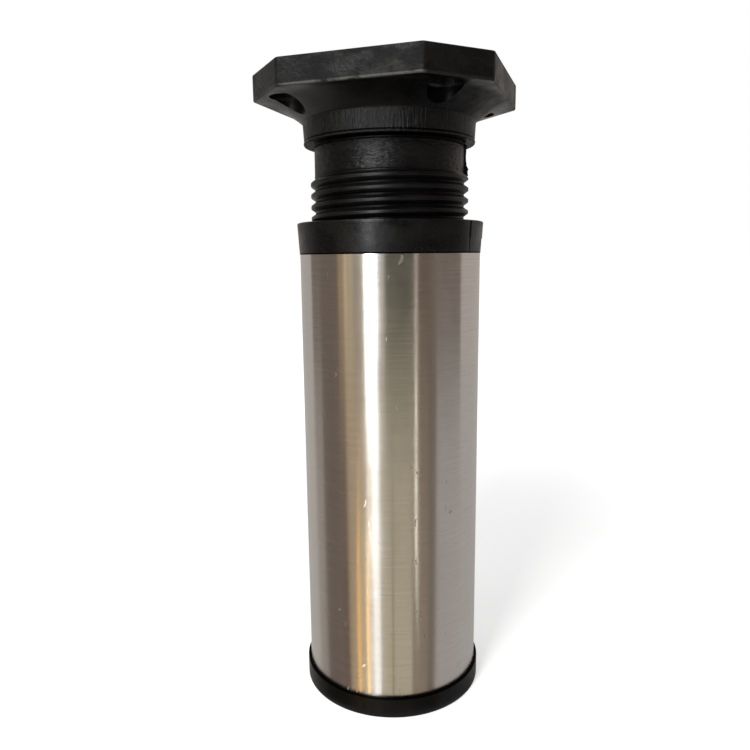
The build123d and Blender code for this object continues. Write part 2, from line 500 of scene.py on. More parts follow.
@dataclass(frozen=True)
class MouldedPlastic:
    """Black moulded plastic with a fine grain, drag marks and a little dust; it can also carry painted
    shade in gaps, holes and hollows and on one side, and a pale lower edge on a face that is partly wear
    and partly a painted highlight.

    Sizes and depths are in mm. A zone is a lower and an upper level, and a layer whose zone isn't
    given is left out.
    """

    name: str
    colour: Colour
    worn_colour: Colour
    roughness: float
    roughness_spread: float = 0.08
    shine: float = 0.27
    shine_tint: Colour = (0.92, 0.95, 1.0)
    cloud_size: Size = (9.0, 9.0, 5.0)
    scuff_size: Size = (0.5, 0.5, 2.2)
    scuff_roughness: float = 0.08
    grain: float = 0.28
    grain_depth: float = 0.012
    speck_size: float = 0.42
    specks: float = 0.5
    dust_size: float = 0.22
    dust: float = 0.22
    dust_colour: Colour = (0.3, 0.29, 0.27)
    unevenness: float = 4.0
    unevenness_depth: float = 0.05
    scuffed_colour: Colour = (0.018, 0.017, 0.0155)
    # Pale colour of the front face's lower edge, partly wear and partly a painted highlight.
    worn_and_highlit_colour: Colour = (0.075, 0.072, 0.066)
    drawn_zone: Zone | None = None
    streak_size: Size = (0.6, 0.6, 14.0)
    streak_depth: float = 0.26
    rippled_zone: Zone | None = None
    ripple_size: Size = (2.2, 2.2, 0.7)
    ripple_depth: float = 0.36
    speckled_zone: Zone | None = None
    pit_size: Size = (1.0, 1.0, 0.7)
    pit_depth: float = 0.1
    blot_size: Size = (5.0, 5.0, 3.2)
    front_half_width: float = 17.6
    corner_fade: float = 1.2
    # Painted shade on one side of a zone, mottled and deepening towards +X.
    shaded_side_zone: Zone | None = None
    side_shade_size: Size = (2.5, 2.5, 1.6)
    side_shade: float = 0.72
    side_shade_reach: float = 20.0
    # Painted shade in round holes at the corners of a square, between two levels.
    shaded_holes: tuple[float, float] | None = None
    shaded_holes_zone: Zone = (0.0, 1.0)
    hole_shade: float = 0.3
    # Level bands of painted shade where a part meets its neighbour or an edge sits in a crease.
    shade_bands: tuple[Zone, ...] = ()
    # Painted shade deep in a thread's valleys, strongest at the root radius.
    hollow_zone: Zone | None = None
    hollow: tuple[float, float] = (0.0, 1.0)
    hollow_shade: float = 0.6
    # The colour and shine that painted shade pulls the surface towards.
    painted_shade_colour: Colour = (0.0004, 0.0004, 0.0004)
    painted_shade_shine: float = 0.02

    def material(self) -> bpy.types.Material:
        """Builds the material, layer on layer.

        Returns:
            The new material.
        """
        board = FinishBoard(self.name)
        look = self.plain(board)
        if self.drawn_zone:
            self.add_drag_marks(board, look)
        if self.rippled_zone:
            self.add_ripples(board, look)
        if self.speckled_zone:
            self.add_scuffs(board, look)
        self.add_grain(board, look)
        shine = self.shine
        # Painted shade darkens the colour and takes away the shine.
        painted_shade = self.painted_shade(board)
        if painted_shade is not None:
            look.colour = board.tint(painted_shade, look.colour, self.painted_shade_colour)
            shine = board.spread(painted_shade, 0.0, 1.0, self.shine, self.painted_shade_shine)
        board.set("Base Color", look.colour)
        board.set("Roughness", look.rough)
        board.set("Normal", look.normal)
        board.set("Specular IOR Level", shine)
        board.set("Specular Tint", (*self.shine_tint, 1.0))
        return board.material

    def plain(self, board: FinishBoard) -> Layers:
        """The bare moulded surface, slightly uneven and worn in clouds.

        Args:
            board: the nodes of the material.

        Returns:
            The first layers.
        """
        cloud = board.noise(self.cloud_size, 4.0)
        rough = board.spread(cloud, 0.3, 0.7, self.roughness - self.roughness_spread,
                             self.roughness + self.roughness_spread)
        scuffs = board.spread(board.noise(self.scuff_size, 3.0, 0.7), 0.6, 0.78)
        return Layers(
            colour=board.tint(board.spread(cloud, 0.35, 0.7), self.colour, self.worn_colour),
            rough=board.math("ADD", rough, board.times(scuffs, self.scuff_roughness)),
            normal=board.bump(board.noise((self.unevenness,) * 3, 2.0), self.unevenness_depth),
        )

    def add_drag_marks(self, board: FinishBoard, look: Layers) -> None:
        """Adds the upright marks that a mould leaves when the part is drawn out of it.

        Args:
            board: the nodes of the material.
            look: the layers so far, which are changed.
        """
        mask = board.zone(*self.drawn_zone, 0.3)
        streaks = board.noise(self.streak_size, 4.0, 0.7)
        look.normal = board.bump(board.times(streaks, mask), self.streak_depth, look.normal)
        drawn = board.times(mask, board.spread(streaks, 0.5, 0.68))
        look.colour = board.tint(board.times(drawn, 0.25), look.colour, self.scuffed_colour)
        look.rough = board.math("SUBTRACT", look.rough, board.times(drawn, 0.14))

    def add_ripples(self, board: FinishBoard, look: Layers) -> None:
        """Adds the level ripples of plastic that cooled too soon.

        Args:
            board: the nodes of the material.
            look: the layers so far, which are changed.
        """
        ripples = board.noise(self.ripple_size, 3.0, 0.6)
        mask = board.zone(*self.rippled_zone, 0.5)
        look.normal = board.bump(board.times(ripples, mask), self.ripple_depth, look.normal)

    def add_scuffs(self, board: FinishBoard, look: Layers) -> None:
        """Adds pits, pale blots on the front face that grow paler towards +X, and a pale line at its lower
        edge that is partly wear and partly a painted highlight.

        Args:
            board: the nodes of the material.
            look: the layers so far, which are changed.
        """
        low, high = self.speckled_zone
        mask = board.zone(low, high, 0.2)
        pits = board.spread(board.noise(self.pit_size, 3.0, 0.6), 0.35, 0.7)
        look.normal = board.bump(board.times(pits, mask), self.pit_depth, look.normal)
        blots = board.noise(self.blot_size, 4.0, 0.62)
        flecks = board.spread(blots, 0.36, 0.68)
        inner = self.front_half_width
        outer = inner + self.corner_fade
        front = board.times(board.across(-outer, -inner, 0.15, 1.0), board.across(inner, outer, 1.0, 0.1))
        mask = board.times(mask, front)
        # The blots grow paler towards +X.
        scuffed = board.times(flecks, board.across(-18.0, 12.0, 0.2, 1.0))
        look.colour = board.tint(board.times(mask, scuffed), look.colour, self.scuffed_colour)
        dull = board.spread(flecks, 0.1, 0.8, 0.32, 0.14)
        look.rough = board.math("ADD", look.rough, board.times(mask, dull))
        # A pale line along the lower edge, partly wear and partly a painted highlight.
        edge = board.zone(low - 0.1, low + 0.25, 0.25)
        worn_and_highlit = board.times(edge, board.spread(blots, 0.3, 0.5))
        look.colour = board.tint(board.times(worn_and_highlit, front), look.colour, self.worn_and_highlit_colour)

    def add_grain(self, board: FinishBoard, look: Layers) -> None:
        """Adds the fine grain with its specks, and a little dust.

        Args:
            board: the nodes of the material.
            look: the layers so far, which are changed.
        """
        look.normal = board.bump(board.noise((self.grain,) * 3, 2.0), self.grain_depth, look.normal)
        specks = board.spread(board.noise((self.speck_size,) * 3, 2.0, 0.65), 0.52, 0.72)
        look.colour = board.tint(board.times(specks, self.specks), look.colour, self.scuffed_colour)
        dust = board.spread(board.noise((self.dust_size,) * 3, 1.0), 0.76, 0.82)
        look.colour = board.tint(board.times(dust, self.dust), look.colour, self.dust_colour)

    def painted_shade(self, board: FinishBoard) -> Socket | None:
        """How much painted shade darkens gaps, holes and hollows and the shaded side of a face.

        Args:
            board: the nodes of the material.

        Returns:
            The share of painted shade, or None where the finish has none.
        """
        # Painted shade in level bands.
        shares = [board.zone(low, high, 0.12) for low, high in self.shade_bands]
        # Painted shade in the thread's valleys.
        if self.hollow_zone:
            deep = board.spread(board.distance_out(), *self.hollow, self.hollow_shade, 0.0)
            shares.append(board.times(deep, board.zone(*self.hollow_zone, 0.1)))
        if self.shaded_side_zone:
            # Painted shade, mottled and deepening towards +X.
            shaded_side = board.spread(board.noise(self.side_shade_size, 3.0, 0.6), 0.3, 0.7, 0.7, 1.0)
            shaded_side = board.times(shaded_side, board.across(0.0, self.side_shade_reach, 0.0, self.side_shade))
            shares.append(board.times(shaded_side, board.zone(*self.shaded_side_zone, 0.1)))
        # Painted shade inside the holes.
        if self.shaded_holes:
            spacing, radius = self.shaded_holes
            away = board.distance_from_holes(spacing)
            inside = board.spread(away, radius, radius + 0.1, self.hole_shade, 0.0)
            shares.append(board.times(inside, board.zone(*self.shaded_holes_zone, 0.05)))
        total = None
        for share in shares:
            total = share if total is None else board.math("MAXIMUM", total, share)
        return total


@dataclass(frozen=True)
class BrushedSteel:
    """Stainless steel brushed round the tube, so that reflections smear along it."""

    name: str = "brushed_stainless"
    colour: Colour = (0.71, 0.685, 0.65)
    bright_colour: Colour = (0.80, 0.78, 0.75)
    roughness: float = 0.23
    smear: float = 0.93
    hairline_size: Size = (9.0, 9.0, 0.11)
    hairline_depth: float = 0.0005
    fibre_size: Size = (2.4, 2.4, 0.05)
    fibre_depth: float = 0.0002
    cloud_size: Size = (7.0, 7.0, 16.0)
    scratch_colour: Colour = (0.92, 0.91, 0.89)
    scratch_depth: float = 0.006
    scratch_roughness: float = 0.35
    scratch_patch: Size = (3.0, 3.0, 4.0)
    scratch_cells: Size = (110.0, 110.0, 22.0)
    scratch_width: float = 0.017
    scratch_bend: Size = (0.003, 0.003, 0.006)
    scratch_bends: float = 110.0

    def material(self) -> bpy.types.Material:
        """Builds the material.

        Returns:
            The new material.
        """
        board = FinishBoard(self.name)
        hairlines = board.noise(self.hairline_size, 3.0, 0.6)
        cloud = board.noise(self.cloud_size, 3.0)
        colour = board.tint(board.spread(hairlines, 0.3, 0.7), self.colour, self.bright_colour)
        rough = board.spread(board.math("ADD", cloud, board.times(hairlines, 0.6)),
                             0.5, 1.1, self.roughness - 0.03, self.roughness + 0.04)
        normal = board.bump(hairlines, self.hairline_depth)
        normal = board.bump(board.noise(self.fibre_size, 2.0, 0.6), self.fibre_depth, normal)
        scratches = self.scratches(board)
        tangent = board.node("ShaderNodeTangent", direction_type="RADIAL", axis="Z")
        board.set("Base Color", board.tint(scratches, colour, self.scratch_colour))
        board.set("Metallic", 1.0)
        board.set("Roughness", board.math("ADD", rough, board.times(scratches, self.scratch_roughness)))
        board.set("Anisotropic", self.smear)
        board.set("Anisotropic Rotation", 0.25)
        board.set("Normal", board.bump(scratches, -self.scratch_depth, normal))
        board.set("Tangent", tangent.outputs[0])
        return board.material

    def scratches(self, board: FinishBoard) -> Socket:
        """A few short thin scratches that run mostly down the tube.

        Args:
            board: the nodes of the material.

        Returns:
            A share that is 1 on a scratch.
        """
        bent = board.node("ShaderNodeTexNoise")
        bent.inputs["Scale"].default_value = self.scratch_bends
        board.link(board.place, bent.inputs["Vector"])
        shifted = board.step("ShaderNodeVectorMath", bent.outputs["Color"], self.scratch_bend, board.place,
                             operation="MULTIPLY_ADD")
        cells = board.node("ShaderNodeTexVoronoi", feature="DISTANCE_TO_EDGE")
        cells.inputs["Scale"].default_value = 1.0
        board.link(board.scaled(shifted, self.scratch_cells), cells.inputs["Vector"])
        line = board.spread(cells.outputs["Distance"], 0.0, self.scratch_width, 1.0, 0.0)
        return board.times(line, board.spread(board.noise(self.scratch_patch, 1.0), 0.64, 0.69))


# The mounting head


@dataclass(frozen=True)
class Octagon:
    """A square with cut corners, all eight of its edges slightly rounded."""

    side: float
    cut: float
    corner_round: float

    def sides(self) -> list[tuple[float, float]]:
        """The eight sides.

        Returns:
            The direction of each side's normal, and the side's distance from the middle.
        """
        half = self.side / 2
        short = (self.side - self.cut) / math.sqrt(2)
        return [(index * FULL_TURN / 8, short if index % 2 else half) for index in range(8)]

    def rounds(self, inset: float) -> list[tuple[Vector, float, float, float]]:
        """The rounds at the eight corners.

        Args:
            inset: how far the outline is moved in.

        Returns:
            The centre, radius and two end angles of each round.
        """
        radius = max(self.corner_round - inset, 0.1)
        found = []
        sides = self.sides()
        for index in range(8):
            first, first_distance = sides[index]
            second, second_distance = sides[(index + 1) % 8]
            turn = FULL_TURN / 8
            near = first_distance - inset - radius
            far = second_distance - inset - radius
            along = (far - near * math.cos(turn)) / math.sin(turn)
            out = Vector((math.cos(first), math.sin(first)))
            side = Vector((-math.sin(first), math.cos(first)))
            centre = out * near + side * along
            start = centre + out * radius
            end = centre + Vector((math.cos(second), math.sin(second))) * radius
            found.append((centre, radius, math.atan2(start.y, start.x) % FULL_TURN,
                          math.atan2(end.y, end.x) % FULL_TURN))
        return found

    def angles(self, side_step: float = 2.0, round_steps: int = 6) -> np.ndarray:
        """Angles round the outline, close together at the corners.

        Args:
            side_step: the largest step along the sides, in degrees.
            round_steps: the steps in each corner's round.

        Returns:
            The angles in rising order, in radians.
        """
        found = []
        rounds = self.rounds(0.0)
        for index, (_, _, start, end) in enumerate(rounds):
            found += [start + (end - start) * step / round_steps for step in range(round_steps)]
            following = rounds[(index + 1) % 8][2]
            if following < end:
                following += FULL_TURN
            steps = math.ceil(math.degrees(following - end) / side_step)
            found += [end + (following - end) * step / steps for step in range(steps)]
        return np.sort(np.array(found) % FULL_TURN)

    def radii(self, angles: np.ndarray, inset: float) -> np.ndarray:
        """The outline's distance from the middle.

        Args:
            angles: the angles round the middle.
            inset: how far the outline is moved in.

        Returns:
            The distance at each angle.
        """
        reach = np.full(angles.shape, np.inf)
        for direction, distance in self.sides():
            facing = np.cos(angles - direction)
            ahead = facing > 1e-6
            reach[ahead] = np.minimum(reach[ahead], (distance - inset) / facing[ahead])
        for centre, radius, start, end in self.rounds(inset):
            within = (angles >= start - 1e-9) & (angles <= end + 1e-9)
            dot = np.cos(angles) * centre.x + np.sin(angles) * centre.y
            root = radius**2 - (centre.length_squared - dot**2)
            reach[within] = (dot + np.sqrt(np.maximum(root, 0.0)))[within]
        return reach


@dataclass
class MountingHead:
    """The one-piece moulding: octagonal plate, flare, boss, neck and threaded stem."""

    plate_high: float
    plate_side: float
    corner_cut: float = 13.51
    corner_round: float = 1.5
    plate_thickness: float = 6.7
    edge_round: float = 0.4
    flare_radius: float = 30.9
    flare_height: float = 4.6
    flare_hollow: float = 0.4
    boss_radius: float = 23.4
    boss_draft: float = 0.3
    boss_height: float = 5.7
    lip_proud: float = 0.15
    lip_height: float = 0.8
    boss_bore: float = 20.5
    boss_floor: float = 3.0
    stem_bore: float = 17.8
    neck_radius: float = 20.4
    neck_length: float = 7.7
    thread_length: float = 37.2
    thread_depth: float = 1.2
    thread_crest: float = 0.8
    thread_root: float = 2.5
    crest_round: float = 0.36
    root_round: float = 0.1
    pitch: float = 3.0
    end_chamfer: float = 1.2
    hole_spacing: float = 41.0
    hole_radius: float = 2.6
    counterbore_radius: float = 4.5
    screw_seat: float = 3.0
    core_depth: float = 3.9
    rim_wall: float = 2.4
    hub_wall: float = 2.4
    rib_width: float = 1.8
    screw_boss_wall: float = 1.8
    flash_angle: float = 8.0
    flash_reach: float = 0.4
    flash_rag: float = 0.3
    flash_bulge: float = 0.5
    flash_half_width: float = 0.45
    flash_root: float = 0.15
    finish: MouldedPlastic = field(init=False)

    def __post_init__(self) -> None:
        """Works out the levels and the finish's zones."""
        self.plate_low = self.plate_high - self.plate_thickness
        self.flare_low = self.plate_low - self.flare_height
        self.boss_low = self.flare_low - self.boss_height
        self.thread_high = self.boss_low - self.neck_length
        self.stem_end = self.thread_high - self.thread_length
        self.split_level = self.boss_low - self.neck_length / 2
        self.octagon = Octagon(self.plate_side, self.corner_cut, self.corner_round)
        self.angles = self.octagon.angles()
        self.finish = MouldedPlastic(
            "head_black_plastic",
            colour=(0.0015, 0.0013, 0.0015),
            worn_colour=(0.0042, 0.0038, 0.0037),
            roughness=0.37,
            grain_depth=0.022,
            scuffed_colour=(0.0112, 0.0106, 0.0098),
            # Painted shade in the thread's valleys.
            hollow=(self.neck_radius, self.neck_radius + 0.6 * self.thread_depth),
            hollow_zone=(self.stem_end, self.thread_high - 1.0),
            # Painted shade in the counterbores.
            shaded_holes=(self.hole_spacing, self.counterbore_radius),
            shaded_holes_zone=(self.boss_low, self.plate_high - self.screw_seat),
            # Painted shade under the boss and in the crease above its lip.
            shade_bands=((self.boss_low - 0.3, self.boss_low + 0.1),
                        (self.boss_low + self.lip_height - 0.05, self.boss_low + self.lip_height + 0.2)),
            # Painted shade on the flare's right side.
            shaded_side_zone=(self.flare_low, self.plate_low),
            drawn_zone=(self.boss_low, self.flare_low),
            rippled_zone=(self.thread_high, self.boss_low - 1.0),
            speckled_zone=(self.plate_low + 0.3, self.plate_high),
        )

    def flare(self, steps: int = 8) -> Outline:
        """The slightly hollow cone under the plate.

        Args:
            steps: how many points it has.

        Returns:
            The outline from the plate's underside down to the boss.
        """
        rim = Vector((self.flare_radius, self.plate_low))
        foot = Vector((self.boss_radius, self.flare_low))
        inward = (rim - foot).orthogonal().normalized()
        points = []
        for step in range(1, steps + 1):
            share = step / steps
            hollow = 4 * share * (1 - share) * self.flare_hollow
            points.append(tuple(rim.lerp(foot, share) + inward * hollow))
        return points

    def boss(self) -> Outline:
        """The boss with its small lip.

        Returns:
            The outline of its side and underside, down to the neck.
        """
        foot = self.boss_radius - self.boss_draft
        corners = [
            Corner(self.boss_radius, self.flare_low),
            Corner(foot, self.boss_low + self.lip_height, 0.1),
            Corner(foot + self.lip_proud, self.boss_low + 0.6 * self.lip_height, 0.1),
            Corner(foot + 0.3 * self.lip_proud, self.boss_low, 0.2),
            Corner(self.neck_radius, self.boss_low, 0.25),
            Corner(self.neck_radius, self.split_level),
        ]
        return rounded(corners, closed=False)[1:]

    def plate_edge(self) -> Outline:
        """The plate's rounded edge.

        Returns:
            The edge as (inset, level) points, from the plate's top to its underside.
        """
        well_inside = 10 * self.edge_round
        corners = [
            Corner(well_inside, self.plate_high),
            Corner(0.0, self.plate_high, self.edge_round),
            Corner(0.0, self.plate_low, self.edge_round),
            Corner(well_inside, self.plate_low),
        ]
        return rounded(corners, closed=False)[1:-2]

    def upper_shell(self) -> bpy.types.Mesh:
        """The plate, flare, boss and half the neck, still without holes.

        Returns:
            The closed mesh.
        """
        skin = Skin(self.angles)
        bore_step = self.boss_low + self.boss_floor
        bore = [
            Corner(self.stem_bore, self.split_level),
            Corner(self.stem_bore, bore_step, 0.2),
            Corner(self.boss_bore, bore_step, 0.2),
            Corner(self.boss_bore, self.plate_high, 0.25),
            Corner(self.boss_bore + self.hub_wall, self.plate_high),
        ]
        skin.turned(rounded(bore, closed=False)[:-1])
        for inset, level in self.plate_edge():
            skin.ring(self.octagon.radii(self.angles, inset), level)
        skin.ring(self.flare_radius, self.plate_low)
        skin.turned(self.flare())
        skin.turned(self.boss())
        mesh = skin.mesh("head_upper", closed=True)
        tidy_mesh(mesh)
        return mesh

    def screw_places(self) -> list[tuple[float, float]]:
        """The middles of the four screw holes."""
        half = self.hole_spacing / 2
        return [(x, y) for x in (-half, half) for y in (-half, half)]

    def drill(self, radius: float, low: float, high: float, at: tuple[float, float]) -> bpy.types.Mesh:
        """A round cutter.

        Args:
            radius: its radius.
            low: the level of its lower end.
            high: the level of its upper end.
            at: its place along X and Y.

        Returns:
            The closed mesh.
        """
        skin = Skin(even_angles(72))
        skin.turned([(0.0, low), (radius, low), (radius, high), (0.0, high)])
        mesh = skin.mesh("drill", closed=False)
        mesh.transform(Matrix.Translation((at[0] * MM, at[1] * MM, 0)))
        tidy_mesh(mesh)
        return mesh

    def rib(self, turn: float, low: float, high: float) -> bpy.types.Mesh:
        """One straight rib across the plate.

        Args:
            turn: its direction, in radians.
            low: the level of the pockets' floor.
            high: the level that the pockets' cutter reaches.

        Returns:
            The closed mesh, a little taller than the pockets.
        """
        bar = bmesh.new()
        bmesh.ops.create_cube(bar, size=1.0)
        size = Matrix.Diagonal((self.plate_side * MM, self.rib_width * MM, (self.core_depth + 4) * MM, 1))
        middle = Matrix.Translation(UP * (low + high) / 2 * MM)
        bmesh.ops.transform(bar, matrix=middle @ Matrix.Rotation(turn, 4, "Z") @ size, verts=bar.verts)
        mesh = bpy.data.meshes.new("rib")
        bar.to_mesh(mesh)
        bar.free()
        return mesh

    def core_pockets(self) -> bpy.types.Mesh:
        """The cutter for the cored pockets in the plate's top, between hub, ribs and rim.

        Returns:
            The closed mesh.
        """
        low = self.plate_high - self.core_depth
        high = self.plate_high + 1.0
        skin = Skin(self.angles)
        inner = self.boss_bore + self.hub_wall
        outline = self.octagon.radii(self.angles, self.rim_wall)
        for radii, level in ((inner, low), (outline, low), (outline, high), (inner, high)):
            skin.ring(radii, level)
        block = skin.mesh("core", closed=True)
        tidy_mesh(block)
        wall = self.counterbore_radius + self.screw_boss_wall
        keepers = [self.drill(wall, low - 1, high + 1, place) for place in self.screw_places()]
        keepers += [self.rib(turn, low, high) for turn in (0.0, math.pi / 2)]
        return cut_away(block, keepers)

    def thread_outline(self) -> Outline:
        """One pitch of the thread, with softened corners.

        Returns:
            The section as (distance along the axis, height) points.
        """
        land = (self.pitch - self.thread_root) / 2
        flank = (self.thread_root - self.thread_crest) / 2
        corners = [
            Corner(0.0, 0.0),
            Corner(land, 0.0, self.root_round),
            Corner(land + flank, self.thread_depth, self.crest_round),
            Corner(self.pitch - land - flank, self.thread_depth, self.crest_round),
            Corner(self.pitch - land, 0.0, self.root_round),
            Corner(self.pitch, 0.0),
        ]
        return rounded(corners, closed=False, steps=3, hold=0.02)[:-1]

    def threaded_stem(self) -> bpy.types.Mesh:
        """The lower neck, the helical thread and the stem's open end.

        Returns:
            The open mesh, up to the level where the upper shell takes over.
        """
        skin = Skin(self.angles)
        start = self.stem_end - 1.5 * self.pitch
        turns = math.ceil((self.thread_high - start) / self.pitch) + 1
        climb = self.pitch * self.angles / FULL_TURN
        crest = self.neck_radius + self.thread_depth
        low = self.stem_end + 0.3
        rows = [(turn * self.pitch + along, height) for turn in range(turns)
                for along, height in self.thread_outline()]
        for along, height in rows:
            level = np.clip(start + along + climb, low, self.thread_high)
            cap = crest - self.end_chamfer + np.minimum(level - self.stem_end, self.thread_high - level)
            radii = np.maximum(self.neck_radius, np.minimum(self.neck_radius + height, cap))
            skin.ring(radii, level)
        mesh = self.helical_mesh(skin, len(self.thread_outline()))
        neck = Skin(self.angles)
        neck.turned([(self.neck_radius, self.split_level), (self.neck_radius, self.thread_high)])
        bore = [
            Corner(self.neck_radius, low),
            Corner(self.neck_radius, self.stem_end, 0.25),
            Corner(self.stem_bore, self.stem_end, 0.25),
            Corner(self.stem_bore, self.split_level),
        ]
        inside = Skin(self.angles)
        inside.turned(rounded(bore, closed=False))
        return joined("head_stem", [mesh, neck.mesh("neck", False), inside.mesh("bore", False)])

    def helical_mesh(self, skin: Skin, per_turn: int) -> bpy.types.Mesh:
        """Joins helical rows, each row's end meeting the row one turn further on.

        Args:
            skin: the rows.
            per_turn: how many rows further on a turn ends.

        Returns:
            The open mesh.
        """
        count = len(self.angles)
        faces = []
        for row in range(len(skin.rings) - per_turn - 1):
            for index in range(count):
                onward = (row, index + 1) if index + 1 < count else (row + per_turn, 0)
                here = row * count + index
                beside = onward[0] * count + onward[1]
                faces.append((here, beside, beside + count, here + count))
        mesh = bpy.data.meshes.new("thread")
        mesh.from_pydata((np.concatenate(skin.rings) * MM).tolist(), [], faces)
        return mesh

    def mould_flash(self) -> bpy.types.Mesh:
        """The ragged sliver of plastic that the mould's parting line left on the neck.

        Returns:
            The closed mesh.
        """
        low, high = self.thread_high - 1.6, self.boss_low + 0.1
        steps = 18
        noise = np.random.default_rng(7)
        reach = self.neck_radius + self.flash_reach + self.flash_rag * noise.random(steps + 1)
        reach[0] = reach[-1] = self.neck_radius - 0.1
        reach[2:7] += self.flash_bulge
        root = self.neck_radius - self.flash_root
        levels = np.linspace(low, high, steps + 1)
        turn = math.radians(self.flash_angle)
        out = np.array([math.cos(turn), math.sin(turn), 0.0])
        side = np.array([-math.sin(turn), math.cos(turn), 0.0])
        work = bmesh.new()
        rows = []
        for radius, level in zip(reach, levels):
            row = []
            for across, depth in ((-1, 0.0), (0, 1.0), (1, 0.0)):
                at = out * (root + (radius - root) * depth) + side * across * self.flash_half_width
                row.append(work.verts.new((Vector(at) + UP * level) * MM))
            rows.append(row)
        for lower, upper in zip(rows, rows[1:]):
            for column in range(3):
                following = (column + 1) % 3
                work.faces.new((lower[column], lower[following], upper[following], upper[column]))
        work.faces.new(rows[0])
        work.faces.new(list(reversed(rows[-1])))
        mesh = bpy.data.meshes.new("flash")
        work.to_mesh(mesh)
        work.free()
        return mesh

    def open_below(self, upper: bpy.types.Mesh) -> None:
        """Takes away the upper shell's lower end, where the stem goes on.

        Args:
            upper: the upper shell, which is changed.
        """
        level = self.split_level * MM
        work = bmesh.new()
        work.from_mesh(upper)
        cap = [face for face in work.faces
               if all(abs(point.co.z - level) < SAME_POINT for point in face.verts)]
        bmesh.ops.delete(work, geom=cap, context="FACES")
        work.to_mesh(upper)
        work.free()

    def build(self) -> bpy.types.Object:
        """Makes the whole head as one piece.

        Returns:
            The finished piece.
        """
        cutters = [self.core_pockets()]
        seat = self.plate_high - self.screw_seat
        for place in self.screw_places():
            cutters.append(self.drill(self.counterbore_radius, self.boss_low, seat, place))
            cutters.append(self.drill(self.hole_radius, seat - 1, self.plate_high + 1, place))
        upper = cut_away(self.upper_shell(), cutters)
        self.open_below(upper)
        mesh = joined("mounting_head_moulding", [upper, self.threaded_stem()])
        tidy_mesh(mesh)
        mesh = joined("mounting_head_moulding", [mesh, self.mould_flash()])
        smooth(mesh)
        mesh.materials.append(self.finish.material())
        return handed_over(placed(mesh), Body.HEAD, "mounting_head")


def handed_over(piece: bpy.types.Object, body: Body, node: str) -> bpy.types.Object:
    """Lets a piece ride on its body and stand for its node, whose solids are hidden.

    Args:
        piece: the piece.
        body: the body that it moves with.
        node: the node of the solids that it replaces.

    Returns:
        The same piece.
    """
    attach(piece, body.value)
    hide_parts(node)
    log.info("%s: %d faces", piece.name, len(piece.data.polygons))
    return piece


# The collar, tube and foot cap


@dataclass(frozen=True)
class CrushRibs:
    """The ribs round a spigot that are crushed a little as it presses into the tube."""

    reach: float = 23.95
    count: int = 12
    width: float = 1.2

    def radii(self, angles: np.ndarray, spigot: float) -> np.ndarray:
        """The outside of a ribbed spigot.

        Args:
            angles: the angles round the axis.
            spigot: the spigot's radius between the ribs.

        Returns:
            The radius at each angle.
        """
        step = FULL_TURN / self.count
        away = np.abs((angles + step / 2) % step - step / 2) * self.reach
        return np.where(away <= self.width / 2, self.reach, spigot)


